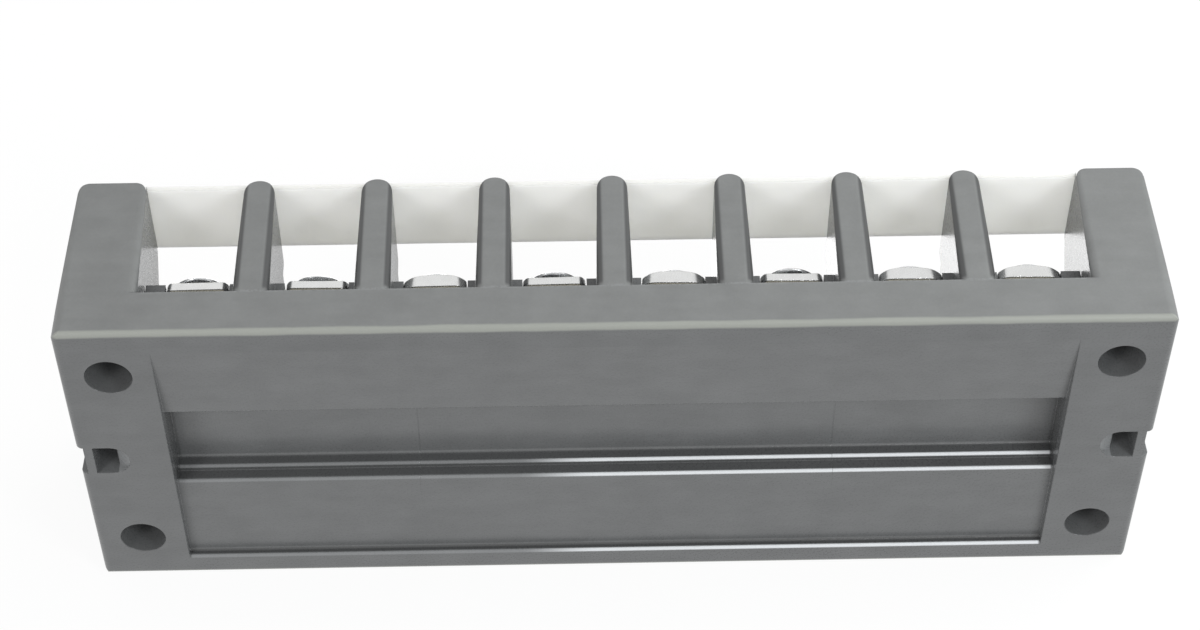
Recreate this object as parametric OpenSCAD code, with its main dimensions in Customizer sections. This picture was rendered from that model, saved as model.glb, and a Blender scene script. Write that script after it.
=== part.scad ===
// Double-row barrier terminal strip.
// X runs along the row of terminals, Y across the two screw rows, Z up.
// The origin is the middle of the underside, on the mounting surface.
// Poles are numbered from -X to +X. The near row is at +Y, the far row at -Y.

/* [Block] */
// Number of terminal positions
poles = 8; // [2:1:10]
// Distance between neighbouring terminals
pitch = 15.875; // [15:0.005:20]
// Length of moulding beyond the outer half pitch, at each end
end_margin = 9.5; // [9:0.1:14]
// Width of the moulding across the two screw rows
block_w = 52; // [50:0.5:64]
// Height of the moulding
block_h = 27.2; // [25:0.1:34]
// Slope of each end face, as inward lean over the full height
end_lean = 1; // [0:0.1:1.5]
// Rounding of the upright corners
corner_r = 1.6; // [0.8:0.1:2]
// Rounding of the bottom edges
bottom_r = 1; // [0.5:0.1:1.2]
// Rounding of the top edges of the end blocks
top_r = 1.5; // [0.8:0.1:1.6]

/* [Barriers] */
// Thickness of a barrier at shelf level
barrier_t = 4.85; // [3.6:0.05:5]
// How much each side of a barrier leans in over its height
barrier_lean = 0.36; // [0.1:0.02:0.5]
// Rounding of the upright edges of a barrier
barrier_edge_r = 1.2; // [0.6:0.1:1.4]
// Extra room beside the outer terminals, next to the end blocks
outer_room = 1.36; // [0:0.02:1.4]
// Height of the barriers between the two marker strip seats
barrier_mid_h = 22.8; // [20:0.1:23]
// Radius of the scoop where a barrier drops behind a strip seat
scoop_r = 2; // [1:0.1:2.4]

/* [Terminal bed] */
// Height of the open shelf in front of each terminal
shelf_h = 7.2; // [6.5:0.1:8]
// Depth of that shelf, from the side face inwards
shelf_d = 5.7; // [4:0.1:6.5]
// Height of the bed that carries the terminals
bed_h = 13.6; // [13.2:0.1:14.5]
// Depth of the channel that holds each strap
channel_d = 2.3; // [1.8:0.1:2.6]
// Gap between a strap or clamp plate and the channel wall, each side
strap_gap = 0.12; // [0.1:0.02:0.3]
// Diameter of the pocket under each terminal screw
pocket_d = 6.8; // [6.6:0.1:7.4]
// Floor level of that pocket
pocket_floor = 5.6; // [5.4:0.1:6]

/* [Straps] */
// Width of a strap
strap_w = 8; // [7.6:0.1:8.4]
// Thickness of a strap
strap_t = 1.1; // [0.8:0.1:1.4]
// How far a strap's end stays inside the edge of the bed
strap_inset = 0.3; // [0.1:0.1:1]
// Outer diameter of the drawn collar round each tapped hole
collar_d = 6; // [5.4:0.1:6]
// Length of that collar below the strap
collar_h = 1.4; // [0.8:0.1:1.6]

/* [Clamps] */
// Side of a clamp plate along its arch's axis
clamp_a = 8.2; // [7.6:0.1:8.4]
// Side of a clamp plate across its arch
clamp_b = 8.2; // [7.6:0.1:8.4]
// Corner cut along the first side
clamp_cut_a = 0.5; // [0.3:0.05:0.9]
// Corner cut along the second side
clamp_cut_b = 1.05; // [0.5:0.05:1.2]
// Thickness of a clamp plate at its low edges
clamp_t = 1.3; // [1.2:0.1:1.8]
// Rise of its arched top above those edges
clamp_arch = 0.8; // [0.4:0.1:1]
// Height pressed flat along the crown of that arch, where the head bears
crown_flat = 0.06; // [0.02:0.02:0.1]

/* [Terminal screws] */
// Distance from the side face to the row of screws
row_inset = 9.6; // [9.2:0.1:11]
// Thread diameter of a terminal screw
thread_d = 4; // [3.5:0.1:4]
// Length of a terminal screw under its head
screw_len = 8; // [6.5:0.1:8.5]
// Diameter of the head
head_d = 8.2; // [7:0.1:8.4]
// Height of the head, with a low round crown
head_h = 2.2; // [1.8:0.1:2.6]
// Height of the head's rim
rim_h = 0.25; // [0.15:0.05:0.6]
// Width of the driver slot
slot_w = 1.1; // [0.8:0.1:1.3]
// Depth of the driver slot
slot_d = 1.2; // [0.8:0.1:1.3]
// Length of the short slot across it
cross_l = 4; // [3:0.1:5]
// Running clearance round the thread, on the radius
thread_gap = 0.06; // [0.02:0.01:0.1]

/* [Marker strip] */
// Width of the marker strip
strip_w = 11.2; // [9:0.1:11.4]
// Thickness of the marker strip
strip_t = 0.8; // [0.5:0.1:1]
// Thickness of the lip of moulding outside the strip
strip_lip = 0.7; // [0.5:0.1:1]
// Gap round the strip in its seat
strip_gap = 0.1; // [0.05:0.05:0.2]
// How far the strip stays inside the ends of the block, at the underside
strip_inset = 3.2; // [3:0.1:4]
// Rounding of the strip's corners
strip_r = 0.5; // [0.2:0.1:1]
// Gap round a fixing screw in the strip's hole, on the radius
strip_hole_gap = 0.2; // [0.1:0.05:0.3]
// Diameter of the strip's fixing screws
fix_d = 2.5; // [2:0.1:2.9]
// Length of the strip's fixing screws under the head
fix_len = 5; // [4:0.1:5]
// Diameter of a fixing screw's head
fix_head_d = 4.8; // [4:0.1:5.2]
// Height of a fixing screw's head
fix_head_h = 1.4; // [1:0.1:2]
// Bevel round the top of that head
fix_bevel = 0.5; // [0.2:0.1:0.7]
// Width of its driver slot
fix_slot_w = 0.7; // [0.5:0.1:0.9]
// Depth of its driver slot
fix_slot_d = 0.8; // [0.5:0.1:0.9]
// Spare depth of the hole below a fixing screw's tip
fix_spare = 0.3; // [0.1:0.1:0.6]

/* [End blocks] */
// Width of the lowered deck in the middle of each end block
deck_w = 16; // [12:0.5:17]
// Height of that deck above the underside
deck_h = 10; // [8:0.5:12]
// Thickness of the wall between the deck and the outer bay
deck_wall = 2.3; // [2:0.1:2.6]
// Height of that wall in the middle
saddle_h = 20; // [18:0.5:22]
// Run of the towers' inner slopes for each unit they drop
slope_run = 0.9; // [0.5:0.05:1]
// Length of the slot in each deck, across the block
slot_hole_l = 5.4; // [4.5:0.1:5.6]
// Width of that slot, along the block
slot_hole_w = 2.9; // [2.4:0.1:3.2]
// Thickness of the web between the slot and the end face
slot_web = 2.2; // [1.8:0.1:2.6]
// Run of the ramp that leads into the slot from below, with a round end
ramp_run = 1.9; // [1:0.1:2.2]
// Depth of that ramp
ramp_d = 1.6; // [1:0.1:3]
// Depth of the notch in the end face beside the slot
notch_d = 0.6; // [0.3:0.1:0.8]
// Diameter of the cored holes under the end towers
core_d = 6.3; // [5:0.1:6.4]
// Depth of the cored holes
core_h = 20; // [12:0.5:20.5]
// Distance from the end of the block to the cored holes
core_inset_x = 6.5; // [6:0.1:6.8]
// Distance from the side face to the cored holes
core_inset_y = 8.6; // [7:0.1:9.5]

/* [Underside] */
// Width of the flat foot at each end
foot_w = 12.5; // [10:0.1:14]
// Width of the lip along each side
lip_w = 4; // [3:0.1:6]
// Depth of the shallow recess between the feet, where its ramp from +Y ends
recess_d = 1.25; // [0.6:0.05:1.8]
// Level of the middle tread between recess and channel
tread_z = 3.1; // [2.4:0.1:3.6]
// Depth of the deep channel
deep_d = 5; // [4:0.1:5.2]
// Where the deep channel starts, on the +Y side of the middle
deep_near = 8.4; // [6:0.1:9]
// Where the deep channel ends, on the -Y side of the middle
deep_far = 5.4; // [4:0.1:7]
// Depth of the tread from the channel to the recess
tread_w = 0.9; // [0.7:0.1:2]
// Rounding of the step edges
nosing_r = 0.45; // [0.3:0.05:0.6]

/* [Hidden] */
$fn = 48;
eps = 0.01;
over = 1;

block_l = poles * pitch + 2 * end_margin;
half_l = block_l / 2;
half_w = block_w / 2;
bay_end = poles * pitch / 2 - barrier_t / 2 + outer_room;
row_y = half_w - row_inset;
bed_y = half_w - shelf_d;
strap_l = 2 * (bed_y - strap_inset);
channel_z = bed_h - channel_d;
strap_top = channel_z + strap_t;
clamp_top = strap_top + clamp_t + clamp_arch;
thread_r = thread_d / 2;
hole_r = thread_r + thread_gap;
seat_z = block_h - strip_t;
strip_y = half_w - strip_lip - strip_gap - strip_w / 2;
strip_l = block_l - 2 * strip_inset;
head_r = head_d / 2;
// Radii of the arch of a clamp plate and of the crown of a head
arch_r = cap_radius(clamp_b / 2, clamp_arch + crown_flat);
crown_r = cap_radius(head_r, head_h - rim_h);
seat_in = half_w - strip_lip - strip_w - 2 * strip_gap;
fix_x = half_l - core_inset_x;
slot_out_x = half_l - slot_web;
slot_in_x = slot_out_x - slot_hole_w;
foot_x = half_l - foot_w;
// Level inside the slab from which the barriers grow
root_z = shelf_h / 2;

// Turn of each clamp plate round its screw, as the screws left it, from -X to +X
NEAR_TURNS = [91, -89, 1, 91, -1, 89, 1, -1, 91, 1];
FAR_TURNS = [1, 91, -1, 89, 91, 1, -1, 89, -1, 91];
// Turn from one terminal screw's slot to the next, and of the fixing screws' slots
slot_step = 67;
fix_turn = 40;

// Reach along X of a clamp plate that is turned by t: one end of a cut corner
// or the other, whichever goes further
function clamp_reach(t) = max(
    clamp_a / 2 * abs(cos(t)) + (clamp_b / 2 - clamp_cut_b) * abs(sin(t)),
    (clamp_a / 2 - clamp_cut_a) * abs(cos(t)) + clamp_b / 2 * abs(sin(t))
);
plate_reach = max([for (t = concat(NEAR_TURNS, FAR_TURNS)) clamp_reach(t)]);
channel_w = 2 * (max(strap_w / 2, plate_reach) + strap_gap);

near_screws = [for (i = [1:poles]) str("screw_near_", i)];
far_screws = [for (i = [1:poles]) str("screw_far_", i)];
near_clamps = [for (i = [1:poles]) str("clamp_near_", i)];
far_clamps = [for (i = [1:poles]) str("clamp_far_", i)];
straps = [for (i = [1:poles]) str("strap_", i)];

// Radius of the circle that rises by h over the half width w
function cap_radius(w, h) = (w * w + h * h) / (2 * h);
function pole_x(i) = (i - (poles + 1) / 2) * pitch;
function turn_of(turns, i) = turns[(i - 1) % len(turns)];

// A profile in (Y, Z), carried along X over the length l, centred
module along_x(l) {
    translate([-l / 2, 0, 0])
        rotate([90, 0, 90])
            linear_extrude(l)
                children();
}

// A profile in (X, Z), carried along Y over the length l, centred
module along_y(l) {
    translate([0, l / 2, 0])
        rotate([90, 0, 0])
            linear_extrude(l)
                children();
}

// The sharp leftover of a square corner at p that a rounding of radius r
// takes off; dir points from the corner into the square
module spandrel(p, r, dir) {
    translate(p)
        scale_sign(dir)
            difference() {
                translate([-eps, -eps])
                    square(r + eps);
                translate([r, r])
                    circle(r);
            }
}

// Mirrors its child into the quadrant that dir points to
module scale_sign(dir) {
    mirror([dir[0] < 0 ? 1 : 0, 0])
        mirror([0, dir[1] < 0 ? 1 : 0])
            children();
}

// Rectangle centred on the origin with round corners
module round_rect(l, w, r) {
    difference() {
        square([l, w], center = true);
        for (sx = [-1, 1], sy = [-1, 1])
            spandrel([sx * l / 2, sy * w / 2], r, [-sx, -sy]);
    }
}

// ---- base body ----

// Long section of the block: end faces lean in, bottom edges are round
module end_profile() {
    difference() {
        polygon([
            [-half_l, 0], [half_l, 0],
            [half_l - end_lean, block_h], [-half_l + end_lean, block_h]
        ]);
        for (s = [-1, 1])
            spandrel([s * half_l, 0], bottom_r, [-s, 1]);
    }
}

// Cross section of the block, with round bottom edges
module side_profile() {
    difference() {
        translate([-half_w, 0])
            square([block_w, block_h]);
        for (s = [-1, 1])
            spandrel([s * half_w, 0], bottom_r, [-s, 1]);
    }
}

// Full outer form of the moulding, before the bays are opened
module envelope() {
    intersection() {
        linear_extrude(block_h)
            round_rect(block_l, block_w, corner_r);
        along_x(block_l)
            side_profile();
        along_y(block_w)
            end_profile();
    }
}

// Half of the side view of a barrier, from inside the slab to its top
module barrier_top_half() {
    scoop_y = seat_in - scoop_r;
    difference() {
        polygon([
            [0, root_z], [half_w, root_z], [half_w, block_h],
            [half_w - strip_lip, block_h], [half_w - strip_lip, seat_z],
            [scoop_y, seat_z], [scoop_y, barrier_mid_h], [0, barrier_mid_h]
        ]);
        spandrel([scoop_y, seat_z], min(scoop_r, seat_z - barrier_mid_h), [1, -1]);
    }
}

// Side view of a barrier: a lip, a strip seat and a scoop on both sides
module barrier_side() {
    barrier_top_half();
    mirror([1, 0])
        barrier_top_half();
}

// Front view of a barrier: leaning sides and a round top
module barrier_front() {
    foot = barrier_t / 2;
    tip = foot - barrier_lean;
    polygon([
        [-foot, root_z], [foot, root_z], [foot, shelf_h],
        [tip, block_h - tip], [-tip, block_h - tip], [-foot, shelf_h]
    ]);
    translate([0, block_h - tip])
        circle(tip);
}

module barrier() {
    intersection() {
        along_y(block_w)
            barrier_front();
        along_x(barrier_t)
            barrier_side();
        linear_extrude(block_h)
            round_rect(barrier_t, block_w, barrier_edge_r);
    }
}

// Half of the side view of an end block: a tower, then a slope down to the
// saddle beside the mounting deck
module end_side_half() {
    polygon([
        [0, 0], [half_w, 0], [half_w, block_h], [seat_in, block_h],
        [seat_in, seat_z], [seat_in - (seat_z - saddle_h) * slope_run, saddle_h],
        [0, saddle_h]
    ]);
}

// Front view of the end block at +X, with a lean on the bay side
module end_front() {
    lean = barrier_lean * block_h / (block_h - shelf_h);
    inner = bay_end + lean;
    difference() {
        polygon([
            [bay_end, 0], [half_l + over, 0],
            [half_l + over, block_h], [inner, block_h], [bay_end, shelf_h]
        ]);
        spandrel([inner, block_h], top_r, [1, -1]);
        spandrel([half_l - end_lean, block_h], top_r, [-1, -1]);
        translate([half_l - end_lean, block_h - top_r])
            square([over + end_lean + eps, top_r + eps]);
    }
}

// The end block at +X
module end_block() {
    reach = half_l - bay_end;
    difference() {
        intersection() {
            envelope();
            along_y(block_w)
                end_front();
            along_x(2 * block_l)
                union() {
                    end_side_half();
                    mirror([1, 0])
                        end_side_half();
                }
        }
        // upright edges beside the outer bay
        for (s = [-1, 1])
            translate([bay_end, s * half_w, shelf_h])
                linear_extrude(block_h)
                    spandrel([0, 0], barrier_edge_r, [1, -s]);
        // lowered deck for the mounting screw
        translate([bay_end + deck_wall, -deck_w / 2, deck_h])
            cube([reach, deck_w, block_h]);
        // seats for the strip's end, with a lip of moulding left outside them
        for (s = [-1, 1])
            translate([0, s * strip_y - strip_w / 2 - strip_gap, seat_z])
                cube([strip_l / 2 + strip_gap, strip_w + 2 * strip_gap, strip_t + over]);
    }
}

// Slab with an open shelf on each side and the raised terminal bed between
module bed() {
    intersection() {
        envelope();
        along_x(2 * (bay_end + eps))
            union() {
                translate([-half_w, 0])
                    square([block_w, shelf_h]);
                translate([-bed_y, 0])
                    square([2 * bed_y, bed_h]);
            }
    }
}

// Stepped recess in the underside, as a section to be cut away: a ramp from +Y,
// the deep channel, a tread and a level shallow part
module recess_section() {
    lip_y = half_w - lip_w;
    far_y = -deep_far - tread_w;
    ramp_slope = recess_d / (lip_y - deep_near);
    difference() {
        union() {
            polygon([
                [-lip_y, -over], [lip_y, -over], [lip_y, 0],
                [deep_near, recess_d], [-lip_y, recess_d]
            ]);
            translate([far_y, 0])
                square([deep_near - far_y, tread_z]);
            translate([-deep_far, 0])
                square([deep_near + deep_far, deep_d]);
            // rounded step edges
            spandrel([-lip_y, 0], nosing_r, [-1, 1]);
            spandrel([far_y, recess_d], nosing_r, [-1, 1]);
            spandrel([-deep_far, tread_z], nosing_r, [-1, 1]);
            spandrel([deep_near, recess_d - nosing_r * ramp_slope], nosing_r, [1, 1]);
        }
        // rounded inner corners
        spandrel([-lip_y, recess_d], nosing_r, [1, -1]);
        spandrel([-deep_far, deep_d], nosing_r, [1, -1]);
        spandrel([deep_near, deep_d], nosing_r, [-1, -1]);
    }
}

// Mounting slot through the deck at +X: straight at its outer side, and at
// its inner side a ramp with a half round end
module mounting_slot() {
    round_x = slot_in_x - ramp_run + slot_hole_l / 2;
    intersection() {
        translate([0, 0, -over])
            linear_extrude(deck_h + 2 * over)
                union() {
                    translate([round_x, 0])
                        circle(d = slot_hole_l);
                    translate([round_x, -slot_hole_l / 2])
                        square([slot_out_x - round_x, slot_hole_l]);
                }
        along_y(2 * slot_hole_l)
            polygon([
                [slot_in_x - ramp_run, -over], [slot_in_x - ramp_run, 0],
                [slot_in_x, ramp_d], [slot_in_x, deck_h + over],
                [slot_out_x, deck_h + over], [slot_out_x, -over]
            ]);
    }
}

// Everything that is cut at one end, for the end at +X
module end_cuts() {
    mounting_slot();
    translate([half_l - end_lean * deck_h / block_h - notch_d, -slot_hole_l / 2, -over])
        cube([2 * notch_d + end_lean, slot_hole_l, block_h]);
    for (s = [-1, 1]) {
        translate([half_l - core_inset_x, s * (half_w - core_inset_y), -over])
            cylinder(d = core_d, h = core_h + over);
        translate([fix_x, s * strip_y, block_h - fix_len - fix_spare])
            cylinder(d = fix_d + 2 * thread_gap, h = fix_len + over);
    }
}

// Strap channel and screw pockets of one terminal
module terminal_cuts() {
    translate([-channel_w / 2, -half_w, channel_z])
        cube([channel_w, block_w, block_h]);
    for (s = [-1, 1])
        translate([0, s * row_y, pocket_floor])
            cylinder(d = pocket_d, h = block_h);
}

module base_body() {
    color([0.47, 0.48, 0.48])
        difference() {
            union() {
                bed();
                for (i = [1:poles - 1])
                    translate([pole_x(i) + pitch / 2, 0, 0])
                        barrier();
                end_block();
                mirror([1, 0, 0])
                    end_block();
            }
            for (i = [1:poles])
                translate([pole_x(i), 0, 0])
                    terminal_cuts();
            along_x(2 * foot_x)
                recess_section();
            end_cuts();
            mirror([1, 0, 0])
                end_cuts();
        }
}

// ---- marker strip and its screws ----

module marker_strip() {
    color([0.90, 0.89, 0.84])
        difference() {
            translate([0, strip_y, seat_z])
                linear_extrude(strip_t)
                    round_rect(strip_l, strip_w, strip_r);
            for (s = [-1, 1])
                translate([s * fix_x, strip_y, 0])
                    cylinder(d = fix_d + 2 * strip_hole_gap, h = block_h + over);
        }
}

// One fixing screw, standing on z = 0 under its head
module fixing_screw() {
    difference() {
        union() {
            translate([0, 0, -fix_len])
                cylinder(d = fix_d, h = fix_len);
            cylinder(d = fix_head_d, h = fix_head_h - fix_bevel);
            translate([0, 0, fix_head_h - fix_bevel])
                cylinder(d1 = fix_head_d, d2 = fix_head_d - 2 * fix_bevel, h = fix_bevel);
        }
        translate([-fix_head_d, -fix_slot_w / 2, fix_head_h - fix_slot_d])
            cube([2 * fix_head_d, fix_slot_w, fix_slot_d + over]);
    }
}

module strip_screws() {
    color([0.80, 0.81, 0.82])
        for (s = [-1, 1])
            translate([s * fix_x, strip_y, block_h])
                rotate([0, 0, fix_turn * s])
                    fixing_screw();
}

// ---- terminals ----

module strap(i) {
    color([0.80, 0.78, 0.70])
        translate([pole_x(i), 0, channel_z])
            difference() {
                union() {
                    translate([-strap_w / 2, -strap_l / 2, 0])
                        cube([strap_w, strap_l, strap_t]);
                    for (s = [-1, 1])
                        translate([0, s * row_y, -collar_h])
                            cylinder(d = collar_d, h = collar_h + eps);
                }
                for (s = [-1, 1])
                    translate([0, s * row_y, -collar_h - over])
                        cylinder(r = hole_r, h = collar_h + strap_t + 2 * over);
            }
}

// Outline of a clamp plate: a rectangle with its corners cut
module clamp_outline() {
    a = clamp_a / 2;
    b = clamp_b / 2;
    polygon([
        [a - clamp_cut_a, -b], [a, -b + clamp_cut_b],
        [a, b - clamp_cut_b], [a - clamp_cut_a, b],
        [-a + clamp_cut_a, b], [-a, b - clamp_cut_b],
        [-a, -b + clamp_cut_b], [-a + clamp_cut_a, -b]
    ]);
}

// Captive clamp plate of pole i in the row on side s, with an arched top
module clamp(i, s) {
    color([0.82, 0.83, 0.83])
        translate([pole_x(i), s * row_y, strap_top])
            rotate([0, 0, turn_of(s > 0 ? NEAR_TURNS : FAR_TURNS, i)])
                difference() {
                    intersection() {
                        linear_extrude(clamp_t + clamp_arch)
                            clamp_outline();
                        translate([0, 0, clamp_t + clamp_arch + crown_flat - arch_r])
                            along_x(2 * clamp_a)
                                circle(arch_r, $fn = 4 * $fn);
                    }
                    translate([0, 0, -over])
                        cylinder(r = hole_r, h = clamp_t + clamp_arch + 2 * over);
                }
}

// Half section of a low round head
module head_section() {
    intersection() {
        square([head_r, head_h]);
        translate([0, head_h - crown_r])
            circle(crown_r, $fn = 4 * $fn);
    }
}

// Terminal screw of pole i in the row on side s
module screw(i, s) {
    color([0.86, 0.87, 0.88])
        translate([pole_x(i), s * row_y, clamp_top])
            rotate([0, 0, slot_step * (s > 0 ? i : poles + i)])
                difference() {
                    union() {
                        translate([0, 0, -screw_len])
                            cylinder(r = thread_r, h = screw_len + eps);
                        rotate_extrude()
                            head_section();
                    }
                    translate([-head_d, -slot_w / 2, head_h - slot_d])
                        cube([2 * head_d, slot_w, head_h]);
                    translate([-slot_w / 2, -cross_l / 2, head_h - slot_d])
                        cube([slot_w, cross_l, head_h]);
                }
}

base_body();
marker_strip();
strip_screws();
for (i = [1:poles]) {
    strap(i);
    clamp(i, 1);
    screw(i, 1);
    clamp(i, -1);
    screw(i, -1);
}
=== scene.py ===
import bpy
import numpy as np
from bpy.props import FloatProperty, FloatVectorProperty, PointerProperty
from mathutils import Matrix, Vector


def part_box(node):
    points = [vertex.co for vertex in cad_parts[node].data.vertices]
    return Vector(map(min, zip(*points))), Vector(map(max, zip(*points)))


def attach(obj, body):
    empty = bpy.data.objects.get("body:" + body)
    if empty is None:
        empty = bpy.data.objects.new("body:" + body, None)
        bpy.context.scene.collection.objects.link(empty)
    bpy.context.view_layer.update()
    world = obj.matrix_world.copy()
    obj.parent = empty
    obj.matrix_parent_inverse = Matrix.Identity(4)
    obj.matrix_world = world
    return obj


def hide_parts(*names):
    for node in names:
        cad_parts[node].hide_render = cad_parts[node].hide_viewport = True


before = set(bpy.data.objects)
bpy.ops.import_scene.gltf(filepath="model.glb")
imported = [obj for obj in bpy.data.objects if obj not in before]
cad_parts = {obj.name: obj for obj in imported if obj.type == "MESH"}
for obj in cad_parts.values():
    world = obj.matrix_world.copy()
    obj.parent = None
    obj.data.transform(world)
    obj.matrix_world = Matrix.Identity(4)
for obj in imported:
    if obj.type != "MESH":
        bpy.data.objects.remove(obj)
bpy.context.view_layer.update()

bl_info = {
    "name": "Barrier Terminal Strip",
    "version": (1, 0, 0),
    "blender": (4, 5, 0),
    "location": "3D View > Sidebar > Terminals",
    "description": "Dresses the frame of a barrier terminal strip",
    "category": "Object",
}

MM = 0.001
ROWS = {"near": 1, "far": -1}
POLES = sum(name.startswith("strap_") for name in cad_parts)
STRAP_1, STRAP_2 = (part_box(f"strap_{i}")[0] for i in (1, 2))
PITCH = STRAP_2.x - STRAP_1.x
# How each clamp plate was left turned round its screw, in degrees, from -X to +X
CLAMP_TURNS = {"near": [91, -89, 1, 91, -1, 89, 1, -1], "far": [1, 91, -1, 89, 91, 1, -1, 89]}
# Turn from one terminal screw's slot to the next, and of the fixing screws' slots
SLOT_STEP = 67
FIX_TURN = 40

BODY_LO, BODY_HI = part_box("base_body")
STRIP_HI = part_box("marker_strip")[1]
SCREW_LO, SCREW_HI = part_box("screw_near_1")
CLAMP_LO, CLAMP_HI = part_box("clamp_near_1")
FIX_LO, FIX_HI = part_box("strip_screws")

# Where the moulding's finish, painted shade and painted highlights change, in millimetres
HALF_W = BODY_HI.y / MM
SHELF_Z = 7.2
LIP_W = 4.0
BAYS_END_X = 62.0
RECESS_END_X = 60.5
CHANNEL_Y = 8.4
CHANNEL_TOP_Z = 1.25
CHANNEL_FLOOR_Z = 5.0
STEP_MIDDLE_Y = -5.9
STEP_EDGES = ((-5.4, 3.1), (-6.3, CHANNEL_TOP_Z), (LIP_W - HALF_W, 0.0))
SLOT_RAMP_X = (66.0, 67.9)
SLOT_HALF_L = 2.7
SEAMS_X = (27.0, -30.0)


# ---- shader graphs ----


class Socket:
    """An output socket. Arithmetic on it adds the node that does it: Math for numbers,
    Vector Math for vectors and Mix for colours."""

    def __init__(self, graph, socket):
        self.graph = graph
        self.socket = socket

    def __add__(self, other):
        return self.graph.combine("ADD", self, other)

    def __radd__(self, other):
        return self.graph.combine("ADD", other, self)

    def __sub__(self, other):
        return self.graph.combine("SUBTRACT", self, other)

    def __rsub__(self, other):
        return self.graph.combine("SUBTRACT", other, self)

    def __mul__(self, other):
        return self.graph.combine("MULTIPLY", self, other)

    def __rmul__(self, other):
        return self.graph.combine("MULTIPLY", other, self)

    def __abs__(self):
        return self.graph.combine("ABSOLUTE", self)


class Graph:
    """The node tree of a material or world, built up from nothing."""

    def __init__(self, owner):
        owner.use_nodes = True
        self.tree = owner.node_tree
        self.tree.nodes.clear()

    def node(self, kind, settings=None, inputs=None, output=0):
        """Adds a node: its settings first, then its sockets' values or links."""
        made = self.tree.nodes.new("ShaderNode" + kind)
        for name, value in (settings or {}).items():
            setattr(made, name, value)
        for name, value in (inputs or {}).items():
            if isinstance(value, Socket):
                self.tree.links.new(value.socket, made.inputs[name])
            else:
                made.inputs[name].default_value = value
        return Socket(self, made.outputs[output]) if made.outputs else made

    def combine(self, operation, *terms):
        """Terms joined by an operation, in the node that their kind asks for."""
        kinds = {t.socket.type for t in terms if isinstance(t, Socket)}
        if "RGBA" in kinds:
            return self.node("Mix", {"data_type": "RGBA", "blend_type": operation},
                             {0: 1.0, 6: terms[0], 7: terms[1]}, 2)
        kind = "VectorMath" if "VECTOR" in kinds else "Math"
        return self.node(kind, {"operation": operation}, dict(enumerate(terms)))

    def mix(self, factor, a, b):
        """Colour a where the factor is 0 and colour b where it is 1."""
        return self.node("Mix", {"data_type": "RGBA"}, {0: factor, 6: a, 7: b}, 2)

    def most(self, a, b):
        return self.combine("MAXIMUM", a, b)

    def least(self, a, b):
        return self.combine("MINIMUM", a, b)

    def step(self, value, start, end):
        """0 before start and 1 after end, smooth between; start may be the larger."""
        if start > end:
            return 1 - self.step(value, end, start)
        return self.node("MapRange", {"interpolation_type": "SMOOTHSTEP"},
                         {"Value": value, "From Min": start, "From Max": end})

    def noise(self, where, scale, detail=2.0, roughness=0.5):
        return self.node("TexNoise", None, {"Vector": where, "Scale": scale,
                                            "Detail": detail, "Roughness": roughness})

    def specks(self, where, cell, radius, share):
        """Round specks of a radius, in a share of the cells of a random grid."""
        settings = {"feature": "F1"}
        sockets = {"Vector": where, "Scale": 1 / cell}
        near = self.node("TexVoronoi", settings, sockets, "Distance")
        pick = self.node("TexVoronoi", settings, sockets, "Color")
        chosen = self.step(self.axes(pick)[0], 1 - share, 1 - share + 0.01)
        return self.step(near * cell, radius, radius * 0.5) * chosen

    def axes(self, vector):
        """The three parts of a vector."""
        made = self.node("SeparateXYZ", None, {"Vector": vector})
        return [Socket(self, s) for s in made.socket.node.outputs]

    def place(self, scale):
        """Object coordinates, times a scale along each axis, in millimetres."""
        where = self.node("TexCoord", None, None, "Object")
        return where * tuple(s / MM for s in scale)

    def made(self):
        """A piece's own coordinates in millimetres, as it was before it was placed."""
        return self.node("Attribute", {"attribute_name": "made"}, None, "Vector") * (
            (1 / MM,) * 3
        )

    def soft_edges(self, radius):
        """The normal, rounded over the edges of the piece."""
        return self.node("Bevel", {"samples": 6}, {"Radius": radius})

    def bump(self, height, distance, normal=None):
        sockets = {"Height": height, "Distance": distance, "Strength": 1.0}
        if normal:
            sockets["Normal"] = normal
        return self.node("Bump", None, sockets)

    def surface(self, **sockets):
        """A Principled shader with these sockets, joined to the output."""
        named = {name.replace("_", " "): value for name, value in sockets.items()}
        shader = self.node("BsdfPrincipled", None, named)
        self.output(shader)

    def output(self, shader, kind="Material"):
        self.node("Output" + kind, None, {"Surface": shader})


def new_material(name):
    material = bpy.data.materials.new(name)
    return material, Graph(material)


def rgba(colour, factor=1.0):
    return tuple(c * factor for c in colour) + (1.0,)


def dress(node, material):
    """Gives a CAD node's slots the material."""
    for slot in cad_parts[node].material_slots:
        slot.material = material


# ---- surfaces ----


def ring_faces(rings, count, wrap):
    """Quads between neighbouring rings of a grid of points; wrap joins last to first."""
    a = np.arange(rings if wrap else rings - 1)
    b = np.arange(count)
    i, j = np.meshgrid(a, b, indexing="ij")
    ni, nj = (i + 1) % rings, (j + 1) % count
    return np.stack([i * count + j, i * count + nj, ni * count + nj, ni * count + j],
                    axis=-1).reshape(-1, 4)


def closed_shell(points, wrap=False):
    """Vertices and faces of a grid of rings. A wrapped grid is a torus; any other has a
    point at the middle of its first and last ring."""
    rings, count = points.shape[:2]
    verts = points.reshape(-1, 3)
    faces = ring_faces(rings, count, wrap).tolist()
    if not wrap:
        ends = np.array([points[0].mean(axis=0), points[-1].mean(axis=0)])
        j = np.arange(count)
        nj = (j + 1) % count
        first, last = len(verts), len(verts) + 1
        low = np.stack([np.full(count, first), nj, j], axis=-1)
        base = (rings - 1) * count
        high = np.stack([np.full(count, last), base + j, base + nj], axis=-1)
        verts = np.concatenate([verts, ends])
        faces += low.tolist() + high.tolist()
    return verts, outward(verts, faces)


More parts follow.
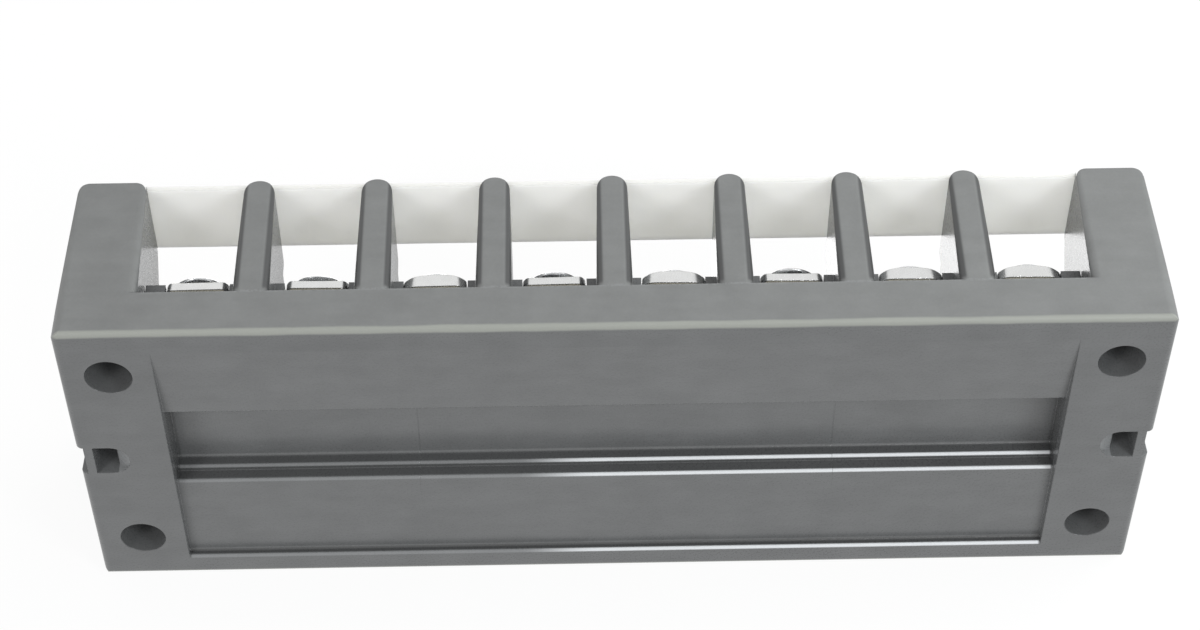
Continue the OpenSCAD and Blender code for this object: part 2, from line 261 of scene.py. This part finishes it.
def outward(verts, faces):
    """The faces, turned round if the volume inside them comes out negative. The volume is
    the sum of the tetrahedra from the origin to each triangle."""
    tris = np.array([f[:3] for f in faces] + [[f[0]] + f[2:] for f in faces if len(f) > 3])
    a, b, c = (verts[tris[:, k]] for k in range(3))
    if np.einsum("ij,ij->", a, np.cross(b, c)) < 0:
        return [f[::-1] for f in faces]
    return faces


def placed(points, turn, centre):
    """Points turned by an angle in degrees round +Z, then moved."""
    t = np.radians(turn)
    spin = np.array([[np.cos(t), -np.sin(t), 0], [np.sin(t), np.cos(t), 0], [0, 0, 1]])
    return points @ spin.T + np.array(centre)


def make_piece(name, shells, places, material):
    """One object of several closed shells, each placed at every (turn, centre). Its
    point attribute 'made' holds the place of each point before that."""
    verts, made, faces, count = [], [], [], 0
    for turn, centre in places:
        for points, quads in shells:
            verts.append(placed(points, turn, centre))
            made.append(points)
            faces += [[i + count for i in f] for f in quads]
            count += len(points)
    mesh = bpy.data.meshes.new(name)
    mesh.from_pydata(np.concatenate(verts), [], faces)
    attribute = mesh.attributes.new("made", "FLOAT_VECTOR", "POINT")
    attribute.data.foreach_set("vector", np.concatenate(made).astype(np.float32).ravel())
    mesh.materials.append(material)
    mesh.shade_smooth()
    piece = bpy.data.objects.new(name, mesh)
    bpy.context.scene.collection.objects.link(piece)
    mesh.set_sharp_from_angle(angle=np.radians(35))
    return piece


def thread_shell(radius, root, pitch, length, sink, sides=36, steps=10):
    """A threaded shank from z = -length to z = sink. At the angle a and height z the
    phase is z / pitch - a / full turn; a trapezoid wave of the phase gives the depth, and
    a 45 degree taper closes the tip."""
    z = np.linspace(-length, sink, int((length + sink) / pitch * steps))[:, None]
    a = np.linspace(0, 2 * np.pi, sides, endpoint=False)[None, :]
    wave = np.abs(2 * ((z / pitch - a / (2 * np.pi)) % 1) - 1)
    crest = np.clip((wave - 0.12) / 0.7, 0, 1)
    r = root + (radius - root) * crest
    r = np.minimum(r, root * 0.8 + (z + length))
    return closed_shell(np.stack([r * np.cos(a), r * np.sin(a), z + 0 * a], axis=-1))


def spread(stops, counts):
    """Numbers from stop to stop, with that many steps between neighbours."""
    parts = [np.linspace(a, b, n, endpoint=False)
             for a, b, n in zip(stops[:-1], stops[1:], counts)]
    return np.concatenate(parts + [[stops[-1]]])


def cap_radius(half, rise):
    """Radius of the circle that rises by `rise` over the half width `half`."""
    return (half**2 + rise**2) / (2 * rise)


def head_shell(radius, height, rim, bevel, slot_w, slot_d, cross_l):
    """A slotted round head on z = 0, as cross sections carried along X. The upper side is
    a spherical cap from the rim to the height; the lower side rises at 45 degrees over
    the last `bevel`. Inside the slot along Y, and the short one across it, the upper
    side drops to the slot's floor. Each wall of a slot stands between two lines of
    points that are a hair apart."""
    hair = 0.004 * MM
    half = slot_w / 2
    outer = half + hair
    reach = cross_l / 2
    lines = [0, half, outer, reach, reach + hair] if cross_l else [0, half, outer]
    counts = [3, 1, 5, 1] if cross_l else [3, 1]
    side = spread(lines, counts)
    tail = np.sin(np.linspace(0, np.pi / 2, 15))[1:]
    side = np.concatenate([side, side[-1] + (radius * 0.9997 - side[-1]) * tail])
    x = np.concatenate([-side[::-1], side[1:]])[:, None]
    chord = np.sqrt(radius**2 - x**2)
    inner = np.minimum(half, 0.6 * chord)
    inner_out = np.minimum(outer, 0.62 * chord)
    t = np.sin(np.linspace(0, np.pi / 2, 13))[None, 1:]
    rows = np.concatenate([0 * x, 0.5 * inner, inner, inner_out,
                           inner_out + (chord - inner_out) * t], axis=1)
    y = np.concatenate([-rows[:, ::-1], rows[:, 1:]], axis=1)
    crown = cap_radius(radius, height - rim)
    top = height - crown + np.sqrt(crown**2 - x**2 - y**2)
    floor = height - slot_d
    in_slot = np.abs(x) + 0 * y < half + hair / 2
    in_cross = (np.abs(y) < half + hair / 2) & (np.abs(x) < reach + hair / 2)
    top = np.where(in_slot | (in_cross & bool(cross_l)), np.minimum(top, floor), top)
    under = np.linspace(1, -1, 15)[None, :] * chord
    low = np.maximum(0, np.hypot(x, under) - (radius - bevel))
    ys = np.concatenate([y, under], axis=1)
    zs = np.concatenate([top, low], axis=1)
    return closed_shell(np.stack([x + 0 * ys, ys, zs], axis=-1))


def plate_radius(a, side_a, side_b, cut_a, cut_b, power=40):
    """Distance from the middle to the edge of a plate with cut corners, at the angle a.
    Each side is a line at its own distance; a high power mean joins them with a slight
    rounding."""
    la, lb = side_a / 2, side_b / 2
    slant = np.arctan2(cut_a, cut_b)
    cut = (cut_b * (la - cut_a) + cut_a * lb) / np.hypot(cut_a, cut_b)
    normals = [0, np.pi / 2, np.pi, -np.pi / 2] + [
        slant, -slant, np.pi - slant, np.pi + slant]
    far = [la, lb, la, lb] + [cut] * 4
    total = sum(np.maximum(0, np.cos(a - n) / d) ** power for n, d in zip(normals, far))
    return total ** (-1 / power)


def plate_shell(side_a, side_b, cut_a, cut_b, thick, arch, flat, hole, soft):
    """A clamp plate round its hole: a closed section carried round the hole. At each
    angle the section runs up the hole's wall, out over the top, down the outer side and
    back under, with every edge rounded to `soft`. The top is a cylinder along X that
    drops by `arch` at the edges, cut off level at the crown; the underside is level."""
    a = np.linspace(0, 2 * np.pi, 192, endpoint=False)[:, None]
    edge = plate_radius(a, side_a, side_b, cut_a, cut_b)
    q = np.linspace(0, np.pi / 2, 5)
    across = np.linspace(0, 1, 13)[1:-1]
    # each point: share of the way from hole to edge, shift outwards, height share, lift
    corner = soft * (1 - np.cos(q)), soft * (1 - np.sin(q))
    share = np.concatenate([0 * q, across, 0 * q + 1, 0 * q + 1, across[::-1], 0 * q])
    shift = np.concatenate([corner[0], 0 * across, -corner[0][::-1],
                            -corner[0], 0 * across, corner[0][::-1]])
    level = np.concatenate([0 * q + 1, 0 * across + 1, 0 * q + 1, 0 * q, 0 * across, 0 * q])
    lift = np.concatenate([-corner[1], 0 * across, -corner[1][::-1],
                           corner[1], 0 * across, corner[1][::-1]])
    r = hole + (edge - hole) * share[None, :] + shift[None, :]
    x, y = r * np.cos(a), r * np.sin(a)
    bend = cap_radius(side_b / 2, arch + flat)
    top = np.minimum(thick, thick + flat - bend + np.sqrt(bend**2 - y**2))
    z = level * top + lift[None, :]
    return closed_shell(np.stack([x, y, z], axis=-1), wrap=True)


# ---- materials ----


def distance(g, *parts):
    """Length of a vector from its parts: the root of the sum of their squares."""
    return g.combine("SQRT", sum((part * part for part in parts[1:]), parts[0] * parts[0]))


def barrier_shade_and_shelf_edge(g, shade, colour, x, y, z, grain, outer):
    """Painted shade on the upright edges of the barriers, and a paler edge along the shelf."""
    from_barrier = g.combine("PINGPONG", abs(x), PITCH / MM / 2)
    # Painted shade: the upright edges of the barriers are painted darker.
    upright = g.step(from_barrier, 1.35, 1.75) * g.step(from_barrier, 2.9, 2.6)
    upright = upright * g.step(abs(y), HALF_W - 1.6, HALF_W - 1.2)
    upright = upright * g.step(z, SHELF_Z + 0.1, SHELF_Z + 1.0)
    upright = upright * g.step(abs(x), BAYS_END_X, BAYS_END_X - 4.0)
    shade = g.mix(upright * 0.9, shade, rgba(colour, 0.36))
    shelf = g.step(abs(z - SHELF_Z), 0.3, 0.1) * outer
    shelf = shelf * g.step(abs(x), BAYS_END_X + 0.2, BAYS_END_X - 0.2)
    return g.mix(shelf * 0.5 * g.step(grain, 0.35, 0.6), shade, rgba(colour, 1.9))


def underside_painted_light(g, shade, colour, x, y, z):
    """Painted shade on the walls of the steps, along the lip and on the recess's end walls,
    painted light on the ramps in the end slots, and painted highlights along the step
    edges, brightest towards -X."""
    # Painted shade on the step walls and along the lip, which lie in shade.
    riser = g.step(z, CHANNEL_TOP_Z + 0.25, CHANNEL_TOP_Z + 0.65)
    riser = riser * g.step(z, CHANNEL_FLOOR_Z + 0.2, CHANNEL_FLOOR_Z)
    corner = g.step(abs(y - STEP_MIDDLE_Y), 0.75, 0.5) * riser
    lip = g.step(abs(y - (LIP_W - HALF_W)), 0.3, 0.1) * g.step(z, 0.3, 0.6)
    shade = g.mix(g.most(corner * 0.6, lip * 0.8), shade, rgba(colour, 0.35))
    # Painted shade on the end walls of the recess.
    end_wall = g.step(abs(x), RECESS_END_X - 0.6, RECESS_END_X - 0.2)
    end_wall = end_wall * g.step(abs(x), RECESS_END_X + 0.5, RECESS_END_X + 0.2) * riser
    end_wall = end_wall * g.step(abs(y), CHANNEL_Y + 0.2, CHANNEL_Y - 0.2)
    shade = g.mix(end_wall * 0.6, shade, rgba(colour, 0.4))
    # Painted light: the ramps in the end slots are painted paler, as if lit from the side.
    start, end = SLOT_RAMP_X
    ramp = g.step(abs(x), start - 0.1, start + 0.05) * g.step(abs(x), end + 0.05, end - 0.1)
    ramp = ramp * g.step(abs(y), SLOT_HALF_L + 0.2, SLOT_HALF_L) * g.step(z, 0.03, 0.1)
    shade = g.mix(ramp * 0.8, shade, rgba(colour, 2.4))
    # Painted highlights along the step edges, brightest towards -X.
    bright = g.step(x, 14.0, 2.0) * 0.75 + 0.12
    bright = bright * g.step(abs(x), RECESS_END_X - 0.1, RECESS_END_X - 0.4)
    edges = 0.0
    for edge_y, edge_z in STEP_EDGES:
        edges = g.step(distance(g, y - edge_y, z - edge_z), 0.46, 0.26) + edges
    return g.mix(g.least(edges, 1.0) * bright, shade, rgba((0.72, 0.74, 0.76)))


def moulding_material(colour, roughness, softness):
    """Dark moulded phenolic with a soft gloss: faint mottle and flow, fine grain, outer sides
    painted paler as if lit and also duller, a fold round the underside that is rubbed and
    painted with a sheen, painted shade and highlights on edges and steps, two faint tool
    seams across the channel, and dust."""
    material, g = new_material("moulded_grey")
    p = g.place((1, 1, 1))
    x, y, z = g.axes(p)
    mottle = g.noise(p, 0.16, 3.0, 0.6)
    flow = g.noise(g.place((0.25, 1, 1)), 0.5, 2.0)
    grain = g.noise(p, 2.6, 4.0, 0.65)
    tone = (mottle - 0.5) * 0.35 + (flow - 0.5) * 0.25 + (grain - 0.5) * 0.2
    shade = g.mix(g.step(tone, -0.2, 0.2), rgba(colour, 0.88), rgba(colour, 1.12))
    # Painted light: the outer sides are painted paler, as if lit more than the underside.
    outer = g.step(abs(y), HALF_W - 0.9, HALF_W - 0.3) * g.step(z, 0.3, 1.0)
    shade = g.mix(outer, shade, shade * rgba((1.33, 1.33, 1.30)))
    # Painted shade on the barriers' upright edges, and a paler shelf edge.
    shade = barrier_shade_and_shelf_edge(g, shade, colour, x, y, z, grain, outer)
    # Rubbed wear and a painted sheen: the fold round the underside is painted paler.
    fold = distance(g, HALF_W - abs(y), z)
    fold_wear_and_sheen = g.step(fold + (flow - 0.5) * 0.3, 0.95, 0.55)
    shade = g.mix(fold_wear_and_sheen * 0.75, shade, rgba((0.30, 0.31, 0.28)))
    # Painted shade and painted highlights on the underside.
    shade = underside_painted_light(g, shade, colour, x, y, z)
    seam = sum(g.step(abs(x - at), 0.12, 0.03) for at in SEAMS_X)
    seam = seam * g.step(z, CHANNEL_FLOOR_Z + 0.2, CHANNEL_FLOOR_Z) * g.step(abs(y), 12.0, 7.0)
    shade = g.mix(seam * 0.3, shade, rgba(colour, 0.6))
    dust = g.specks(p, 9.0, 0.15, 0.22)
    shade = g.mix(dust * 0.5, shade, rgba(colour, 2.6))
    relief = grain * 0.35 + mottle * 0.6 - seam + dust * 0.4
    g.surface(
        Base_Color=shade,
        Roughness=roughness + (grain - 0.5) * 0.10 + outer * 0.06 + fold_wear_and_sheen * 0.1,
        IOR=1.5,
        Normal=g.bump(relief, 0.025 * MM, g.soft_edges(softness)),
    )
    return material


def marker_material(colour):
    """Thin ivory laminate that lets some light through: a very faint cloudiness, a
    slight gloss, a darker cut edge and a few specks."""
    material, g = new_material("ivory_laminate")
    p = g.place((1, 1, 1))
    cloud = g.noise(p, 0.12, 3.0)
    fine = g.noise(p, 3.0, 3.0)
    shade = g.mix(cloud, rgba(colour, 0.97), rgba(colour, 1.02))
    _, y, _ = g.axes(p)
    edge_y = STRIP_HI.y / MM
    cut_edge = g.step(abs(y), edge_y - 0.08, edge_y - 0.03)
    shade = g.mix(cut_edge, shade, rgba(colour, 0.72))
    specks = g.specks(p, 9.0, 0.14, 0.2)
    shade = g.mix(specks * 0.5, shade, rgba(colour, 0.45))
    g.surface(
        Base_Color=shade,
        Roughness=0.38 + (fine - 0.5) * 0.12,
        IOR=1.5,
        Subsurface_Weight=0.8,
        Subsurface_Radius=(1.0, 1.0, 0.9),
        Subsurface_Scale=5 * MM,
        Normal=g.bump(fine, 0.008 * MM, g.soft_edges(0.12 * MM)),
    )
    return material


def metal_material(name, colour, roughness, lines, rings=0.0, tarnish=0.0):
    """Plated metal: `lines` scales the stretched noise of its drawn or rolled surface,
    `rings` adds turned rings round a piece's own axis, and tarnish dulls it in clouds."""
    material, g = new_material(name)
    p = g.place((1, 1, 1)) if not rings else g.made()
    cloud = g.noise(p, 0.8, 4.0, 0.6)
    drawn = g.noise(p * lines, 1.0, 4.0, 0.6)
    shade = g.mix(g.step(cloud, 0.35, 0.75) * tarnish, rgba(colour), rgba(colour, 0.62))
    height = drawn * 0.6
    if rings:
        x, y, _ = g.axes(p)
        radius = g.combine("SQRT", x * x + y * y)
        height = height + g.combine("SINE", radius * (2 * np.pi / rings)) * 0.25
    g.surface(
        Base_Color=shade,
        Metallic=1.0,
        Roughness=roughness + (drawn - 0.5) * 0.12 + (cloud - 0.5) * 0.12,
        Normal=g.bump(height, 0.012 * MM, g.soft_edges(0.1 * MM)),
    )
    return material


# ---- settings ----


def length(name, description, default):
    return FloatProperty(name=name, description=description, default=default * MM,
                         min=0.0, unit="LENGTH", precision=5)


def colour(name, description, default):
    return FloatVectorProperty(name=name, description=description, default=default,
                               min=0.0, max=1.0, size=3, subtype="COLOR")


def number(name, description, default, low=0.0, high=1.0):
    return FloatProperty(name=name, description=description, default=default,
                         min=low, max=high)


class MouldingSettings(bpy.types.PropertyGroup):
    colour: colour("Colour", "Colour of the moulded block", (0.118, 0.121, 0.123))
    roughness: number("Roughness", "Dullness of its surface", 0.28)
    softness: length("Edge softness", "Radius over which its edges look round", 0.25)


class MarkerSettings(bpy.types.PropertyGroup):
    colour: colour("Colour", "Colour of the marker strip", (0.86, 0.85, 0.81))


class MetalSettings(bpy.types.PropertyGroup):
    screw: colour("Screws", "Colour of the screws' plating", (0.76, 0.77, 0.78))
    clamp: colour("Clamps", "Colour of the clamp plates' plating", (0.74, 0.745, 0.74))
    strap: colour("Straps", "Colour of the straps' plating", (0.74, 0.70, 0.58))


class ScrewSettings(bpy.types.PropertyGroup):
    head: length("Head height", "Height of a terminal screw's head", 2.2)
    rim: length("Rim height", "Height of the head's rim", 0.25)
    slot_w: length("Slot width", "Width of the driver slot", 1.1)
    slot_d: length("Slot depth", "Depth of the driver slot", 1.2)
    cross: length("Cross slot", "Length of the short slot across", 4.0)
    thread: length("Thread", "Diameter of the thread", 4.0)
    pitch: length("Pitch", "Pitch of the thread", 0.7)


class FixingSettings(bpy.types.PropertyGroup):
    head: length("Head height", "Height of a fixing screw's head", 1.4)
    rim: length("Rim height", "Height of the head's rim", 0.9)
    head_d: length("Head", "Diameter of the head", 4.8)
    slot_w: length("Slot width", "Width of the driver slot", 0.7)
    slot_d: length("Slot depth", "Depth of the driver slot", 0.8)
    thread: length("Thread", "Diameter of the thread", 2.5)
    pitch: length("Pitch", "Pitch of the thread", 0.45)


class ClampSettings(bpy.types.PropertyGroup):
    side_a: length("Side along", "Side of a clamp plate along its arch's axis", 8.45)
    side_b: length("Side across", "Side of a clamp plate across its arch", 8.45)
    cut_a: length("Cut along", "Corner cut along the first side", 0.6)
    cut_b: length("Cut across", "Corner cut along the second side", 1.15)
    arch: length("Arch", "Rise of the arched top over the plate's edges", 0.8)
    flat: length("Flat", "Height pressed flat along the crown of the arch", 0.06)
    hole: length("Hole", "Diameter of the hole", 4.12)
    soft: length("Edge radius", "Rounding of the plate's edges", 0.16)


class StageSettings(bpy.types.PropertyGroup):
    ambient: number("Ambient", "Strength of the plain light from all round", 0.68)
    right_lamp: number("Right lamp", "Light of the lamp on the -X side", 0.36, high=4.0)
    left_lamp: number("Left lamp", "Light of the lamp on the +X side", 0.26, high=4.0)
    high_lamp: number("High lamp", "Light of the large lamp over the strip", 0.66, high=4.0)
    spark: number("Spark", "Light of the small lamp near the camera", 0.05, high=4.0)
    top_lamp: number("Top lamp", "Light of the lamp over the screws", 0.22, high=4.0)
    floor: length("Floor", "Size of the floor", 4000.0)
    lens: number("Lens", "Focal length in millimetres", 79.9, 20.0, 200.0)


class TerminalStripSettings(bpy.types.PropertyGroup):
    moulding: PointerProperty(type=MouldingSettings)
    marker: PointerProperty(type=MarkerSettings)
    metal: PointerProperty(type=MetalSettings)
    screw: PointerProperty(type=ScrewSettings)
    fixing: PointerProperty(type=FixingSettings)
    clamp: PointerProperty(type=ClampSettings)
    stage: PointerProperty(type=StageSettings)


def settings():
    return bpy.context.scene.terminal_strip


# ---- operators ----


class MakeMoulding(bpy.types.Operator):
    """Finishes the moulded block"""

    bl_idname = "terminal_strip.moulding"
    bl_label = "Moulding"

    def execute(self, context):
        s = settings().moulding
        dress("base_body", moulding_material(s.colour, s.roughness, s.softness))
        return {"FINISHED"}


class MakeMarkerStrip(bpy.types.Operator):
    """Finishes the marker strip"""

    bl_idname = "terminal_strip.marker_strip"
    bl_label = "Marker strip"

    def execute(self, context):
        dress("marker_strip", marker_material(settings().marker.colour))
        return {"FINISHED"}


class MakeStraps(bpy.types.Operator):
    """Finishes the straps that join each pair of terminals"""

    bl_idname = "terminal_strip.straps"
    bl_label = "Straps"

    def execute(self, context):
        material = metal_material("plated_strap", settings().metal.strap, 0.30,
                                  (1.5, 0.08, 1.5), tarnish=0.35)
        for i in range(1, POLES + 1):
            dress(f"strap_{i}", material)
        return {"FINISHED"}


class MakeClamps(bpy.types.Operator):
    """Makes the clamp plates under the terminal screws"""

    bl_idname = "terminal_strip.clamps"
    bl_label = "Clamp plates"

    def execute(self, context):
        s = settings().clamp
        thick = CLAMP_HI.z - CLAMP_LO.z
        shell = plate_shell(s.side_a, s.side_b, s.cut_a, s.cut_b, thick, s.arch, s.flat,
                            s.hole / 2, s.soft)
        material = metal_material("plated_clamp", settings().metal.clamp, 0.27,
                                  (2.0, 2.0, 0.25), tarnish=0.15)
        for row in ROWS:
            for i in range(1, POLES + 1):
                name = f"clamp_{row}_{i}"
                lo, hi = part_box(name)
                centre = ((lo.x + hi.x) / 2, (lo.y + hi.y) / 2, lo.z)
                piece = make_piece(f"plate_{row}_{i}", [shell],
                                   [(CLAMP_TURNS[row][i - 1], centre)], material)
                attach(piece, name)
                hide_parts(name)
        return {"FINISHED"}


class MakeTerminalScrews(bpy.types.Operator):
    """Makes the terminal screws"""

    bl_idname = "terminal_strip.terminal_screws"
    bl_label = "Terminal screws"

    def execute(self, context):
        s = settings().screw
        radius = (SCREW_HI.x - SCREW_LO.x) / 2
        below = SCREW_HI.z - SCREW_LO.z - s.head
        head = head_shell(radius, s.head, s.rim, 0.08 * MM, s.slot_w, s.slot_d, s.cross)
        shank = thread_shell(s.thread / 2, s.thread / 2 - 0.61 * s.pitch, s.pitch, below,
                             0.3 * MM)
        material = metal_material("plated_screw", settings().metal.screw, 0.24,
                                  (1.2, 1.2, 1.2), rings=0.16, tarnish=0.12)
        for row in ROWS:
            for i in range(1, POLES + 1):
                name = f"screw_{row}_{i}"
                lo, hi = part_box(name)
                centre = ((lo.x + hi.x) / 2, (lo.y + hi.y) / 2, hi.z - s.head)
                turn = SLOT_STEP * (i if row == "near" else POLES + i) + 90
                piece = make_piece(f"terminal_{name}", [head, shank], [(turn, centre)],
                                   material)
                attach(piece, name)
                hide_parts(name)
        return {"FINISHED"}


class MakeFixingScrews(bpy.types.Operator):
    """Makes the two small screws that hold the marker strip"""

    bl_idname = "terminal_strip.fixing_screws"
    bl_label = "Fixing screws"

    def execute(self, context):
        s = settings().fixing
        radius = s.head_d / 2
        below = FIX_HI.z - FIX_LO.z - s.head
        head = head_shell(radius, s.head, s.rim, 0.1 * MM, s.slot_w, s.slot_d, 0.0)
        shank = thread_shell(s.thread / 2, s.thread / 2 - 0.61 * s.pitch, s.pitch, below,
                             0.2 * MM)
        material = metal_material("plated_fixing", settings().metal.screw, 0.26,
                                  (1.2, 1.2, 1.2), rings=0.12, tarnish=0.12)
        y = (FIX_LO.y + FIX_HI.y) / 2
        places = [(FIX_TURN * side + 90, (side * (FIX_HI.x - radius), y, FIX_HI.z - s.head))
                  for side in (-1, 1)]
        piece = make_piece("fixing_screws", [head, shank], places, material)
        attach(piece, "base")
        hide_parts("strip_screws")
        return {"FINISHED"}


def add_lamp(name, towards, distance, size, share, tint=(1, 1, 1), mirrored=True):
    """A soft square lamp at a distance from the block, facing its middle. A white
    surface that faces it at the block shows that share of white. Glossy surfaces mirror
    it only where `mirrored` is set."""
    light = bpy.data.lights.new(name, "AREA")
    light.shape = "SQUARE"
    light.size = size
    light.energy = share * (np.pi * distance) ** 2
    light.color = tint
    lamp = bpy.data.objects.new(name, light)
    way = Vector(towards).normalized()
    lamp.location = way * distance + (BODY_LO + BODY_HI) / 2
    lamp.rotation_mode = "QUATERNION"
    lamp.rotation_quaternion = way.to_track_quat("Z", "Y")
    lamp.visible_glossy = mirrored
    bpy.context.scene.collection.objects.link(lamp)


def add_floor(size):
    """The white surface that the block's long side lies on. It shows from its front
    only, and lets the light through."""
    material, g = new_material("floor_white")
    path = {name: g.node("LightPath", None, None, name)
            for name in ("Is Camera Ray", "Is Glossy Ray", "Is Transmission Ray")}
    seen = g.most(g.most(path["Is Camera Ray"], path["Is Glossy Ray"]),
                  path["Is Transmission Ray"])
    diffuse = g.node("BsdfDiffuse", None, {"Color": rgba((0.9, 0.9, 0.9))})
    glow = g.node("Emission", None, {"Color": rgba((1, 1, 1)), "Strength": 1.0})
    front = g.node("MixShader", None, {0: seen * 0.9, 1: diffuse, 2: glow})
    back = g.node("NewGeometry", None, None, "Backfacing")
    clear = g.node("BsdfTransparent")
    g.output(g.node("MixShader", None, {0: back, 1: front, 2: clear}))
    y = BODY_LO.y - 0.02 * MM
    h = size / 2
    mesh = bpy.data.meshes.new("floor")
    mesh.from_pydata([(-h, y, -h), (-h, y, h), (h, y, h), (h, y, -h)], [], [(0, 1, 2, 3)])
    mesh.materials.append(material)
    floor = bpy.data.objects.new("floor", mesh)
    floor.visible_diffuse = False
    floor.visible_glossy = False
    floor.visible_shadow = False
    bpy.context.scene.collection.objects.link(floor)


def set_world(ambient):
    """White where the camera, a gloss or clear matter looks at it, and an even ambient
    light for everything else."""
    world = bpy.data.worlds.new("studio")
    bpy.context.scene.world = world
    g = Graph(world)
    path = {name: g.node("LightPath", None, None, name)
            for name in ("Is Camera Ray", "Is Glossy Ray", "Is Transmission Ray")}
    seen = g.most(g.most(path["Is Camera Ray"], path["Is Glossy Ray"]),
                  path["Is Transmission Ray"])
    g.output(g.node("Background", None,
                    {"Color": rgba((1, 1, 1)), "Strength": ambient + seen * (1 - ambient)}),
             "World")


def add_camera(lens):
    """The camera, low in front of the underside and above the marker strip's side."""
    data = bpy.data.cameras.new("camera")
    data.lens = lens
    data.sensor_width = 36.0
    data.clip_start, data.clip_end = 0.01, 20.0
    camera = bpy.data.objects.new("camera", data)
    right = Vector((-0.9998, -0.0036, -0.0179)).normalized()
    ahead = Vector((-0.0092, -0.7478, 0.6638)).normalized()
    up = right.cross(ahead).normalized()
    camera.matrix_world = Matrix.Translation((0.0052, 0.2834, -0.2265)) @ Matrix(
        (right, up, -ahead)).transposed().to_4x4()
    bpy.context.scene.collection.objects.link(camera)
    bpy.context.scene.camera = camera


class MakeStage(bpy.types.Operator):
    """Sets up the floor, the lamps, the world and the camera"""

    bl_idname = "terminal_strip.stage"
    bl_label = "Stage"

    def execute(self, context):
        s = settings().stage
        add_floor(s.floor)
        set_world(s.ambient)
        add_lamp("lamp_right", (-0.60, 0.55, -0.60), 0.50, 0.16, s.right_lamp,
                 (0.95, 0.99, 1))
        add_lamp("lamp_left", (0.57, 0.55, -0.60), 0.80, 0.22, s.left_lamp)
        add_lamp("lamp_high", (-0.70, 0.62, 0.38), 0.36, 0.30, s.high_lamp,
                 (0.97, 1, 0.99), mirrored=False)
        add_lamp("lamp_spark", (-0.20, 0.72, -0.68), 1.00, 0.06, s.spark)
        add_lamp("lamp_top", (0.25, -0.55, 0.80), 0.60, 0.30, s.top_lamp)
        add_camera(s.lens)
        context.scene.view_settings.view_transform = "Standard"
        return {"FINISHED"}


OPERATORS = (
    MakeMoulding, MakeMarkerStrip, MakeStraps, MakeClamps, MakeTerminalScrews,
    MakeFixingScrews, MakeStage,
)


class TerminalStripPanel(bpy.types.Panel):
    """Sizes, colours and pieces of the terminal strip"""

    bl_idname = "VIEW3D_PT_terminal_strip"
    bl_label = "Terminal strip"
    bl_space_type = "VIEW_3D"
    bl_region_type = "UI"
    bl_category = "Terminals"

    def draw(self, context):
        top = context.scene.terminal_strip
        for name in top.bl_rna.properties.keys():
            group = getattr(top, name, None)
            if not isinstance(group, bpy.types.PropertyGroup):
                continue
            box = self.layout.box()
            box.label(text=name.replace("_", " ").capitalize())
            for field in group.bl_rna.properties.keys():
                if field not in ("rna_type", "name"):
                    box.prop(group, field)
        for operator in OPERATORS:
            self.layout.operator(operator.bl_idname)


CLASSES = (
    MouldingSettings, MarkerSettings, MetalSettings, ScrewSettings, FixingSettings,
    ClampSettings, StageSettings, TerminalStripSettings, *OPERATORS, TerminalStripPanel,
)


def register():
    for cls in CLASSES:
        bpy.utils.register_class(cls)
    bpy.types.Scene.terminal_strip = PointerProperty(type=TerminalStripSettings)


def unregister():
    del bpy.types.Scene.terminal_strip
    for cls in reversed(CLASSES):
        bpy.utils.unregister_class(cls)


def main():
    """Registers the add-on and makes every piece."""
    register()
    for operator in OPERATORS:
        group, name = operator.bl_idname.split(".")
        getattr(getattr(bpy.ops, group), name)()


if __name__ == "__main__":
    main()
